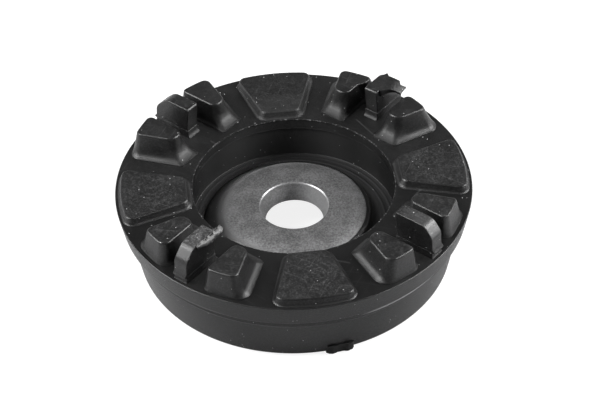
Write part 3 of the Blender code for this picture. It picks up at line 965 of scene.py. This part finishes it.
def makeCamera():
    tilt, distance = photoView["tilt"], photoView["distance"]
    forward = Vector((0, math.cos(tilt), -math.sin(tilt)))
    place = Vector((photoView["sideways"], -distance * math.cos(tilt),
                    photoView["upwards"] + distance * math.sin(tilt)))
    side = Vector((1, 0, 0))
    rise = side.cross(forward)
    roll = photoView["roll"]
    turned = Matrix((math.cos(roll) * side + math.sin(roll) * rise,
                     math.cos(roll) * rise - math.sin(roll) * side, -forward)).transposed()
    turn = Matrix.Rotation(-photoView["patternTurn"], 3, "Z")
    data = bpy.data.cameras.new("camera")
    data.sensor_width = photoView["sensorWidth"]
    data.lens = photoView["focalPixels"] / photoView["imageWidth"] * data.sensor_width
    data.clip_start = 0.01
    camera = bpy.data.objects.new("camera", data)
    bpy.context.scene.collection.objects.link(camera)
    camera.matrix_world = (turn @ turned).to_4x4()
    camera.location = (turn @ place + Vector((0, 0, ringTop))) * mm
    bpy.context.scene.camera = camera


# two softboxes beside the object, a dim white world, a white sweep and a pale floor, in metres
studio = {
    "softboxes": {"softboxLeft": (-0.45, -0.04, 0.42), "softboxRight": (0.49, 0.03, 0.37)},
    "boxWidth": 0.26,
    "boxHeight": 0.40,
    "brightness": 18.0,
    "aim": (0, 0, 0.015),
    "world": 0.12,
    "sweepRadius": 2.4,
    "sweepSteps": 96,
    "sweepHeight": 0.8,
    "sweepFront": -0.6,
    "sweepGlow": 1.0,
    "floorSize": 3.0,
    "floorGrey": 0.62,
    "paintedShadeFloorGrey": 0.27,
    "floorRoughness": 0.9,
    "seenFloorGrey": 0.25,
    "seenFloorGlow": 0.85,
}


def addSoftbox(name, place):
    # its brightness is what a camera would see in it, where one is white
    data = bpy.data.lights.new(name, "AREA")
    data.shape = "RECTANGLE"
    data.size = studio["boxWidth"]
    data.size_y = studio["boxHeight"]
    data.energy = studio["brightness"] * math.pi * data.size * data.size_y
    lamp = bpy.data.objects.new(name, data)
    bpy.context.scene.collection.objects.link(lamp)
    turn = Matrix.Rotation(-photoView["patternTurn"], 3, "Z")
    lamp.location = turn @ Vector(place)
    lamp.rotation_euler = (Vector(studio["aim"]) - lamp.location).to_track_quat("-Z", "Y").to_euler()


def makeLight():
    for name, place in studio["softboxes"].items():
        addSoftbox(name, place)
    world = bpy.data.worlds.new("studio")
    bpy.context.scene.world = world
    world.use_nodes = True
    background = world.node_tree.nodes["Background"]
    background.inputs["Color"].default_value = (1, 1, 1, 1)
    background.inputs["Strength"].default_value = studio["world"]


def makeBackdrop():
    # a low white sweep behind and beside the object, well away from it
    shape = bmesh.new()
    rim = bmesh.ops.create_circle(shape, segments=studio["sweepSteps"], radius=studio["sweepRadius"])["verts"]
    edges = list({edge for vert in rim for edge in vert.link_edges})
    made = bmesh.ops.extrude_edge_only(shape, edges=edges)["geom"]
    raised = [item for item in made if isinstance(item, bmesh.types.BMVert)]
    bmesh.ops.translate(shape, vec=(0, 0, studio["sweepHeight"]), verts=raised)
    front = [vert for vert in shape.verts if vert.co.y < studio["sweepFront"]]
    bmesh.ops.delete(shape, geom=front, context="VERTS")
    paint = Paint("whiteSweep")
    glow = paint.add("Emission", {}, {"Color": (1, 1, 1, 1), "Strength": studio["sweepGlow"]})
    paint.tree.links.new(glow.socket, paint.tree.nodes["Material Output"].inputs["Surface"])
    sweep = meshObject("whiteSweep", shape)
    sweep.data.materials.append(paint.material)


def makeFloor():
    shape = bmesh.new()
    bmesh.ops.create_grid(shape, x_segments=1, y_segments=1, size=studio["floorSize"])
    floor = meshObject("floor", shape)
    # the camera sees a white floor with a faint shadow; reflections see it with painted shade just in front
    # of the object
    paint = Paint("paleFloor")
    across, along, _ = paint.split(paint.place())
    front = paint.fade(along, -5, -65) * paint.fade(((across + 12) ** 2) ** 0.5, 80, 15)
    colour = paint.mixColours(front, paint.grey(studio["floorGrey"]), paint.grey(studio["paintedShadeFloorGrey"]))
    paint.set(Base_Color=colour, Roughness=studio["floorRoughness"])
    seen = paint.add("LightPath", {}, {})
    plain = paint.add("BsdfDiffuse", {}, {"Color": [studio["seenFloorGrey"]] * 3 + [1]})
    glow = paint.add("Emission", {}, {"Color": (1, 1, 1, 1), "Strength": studio["seenFloorGlow"]})
    white = paint.add("AddShader", {}, {0: plain, 1: glow})
    both = paint.add("MixShader", {}, {0: seen, 1: Signal(paint, paint.shader.outputs[0]), 2: white})
    paint.tree.links.new(both.socket, paint.tree.nodes["Material Output"].inputs["Surface"])
    floor.data.materials.append(paint.material)


makeCamera()
print("camera placed")
makeRubberBody(rubberMaterial())
print("rubber body made")
makePlate(steelMaterial())
print("plate made")
makeLight()
makeBackdrop()
makeFloor()
bpy.context.scene.view_settings.view_transform = "Standard"
print("light and floor made")
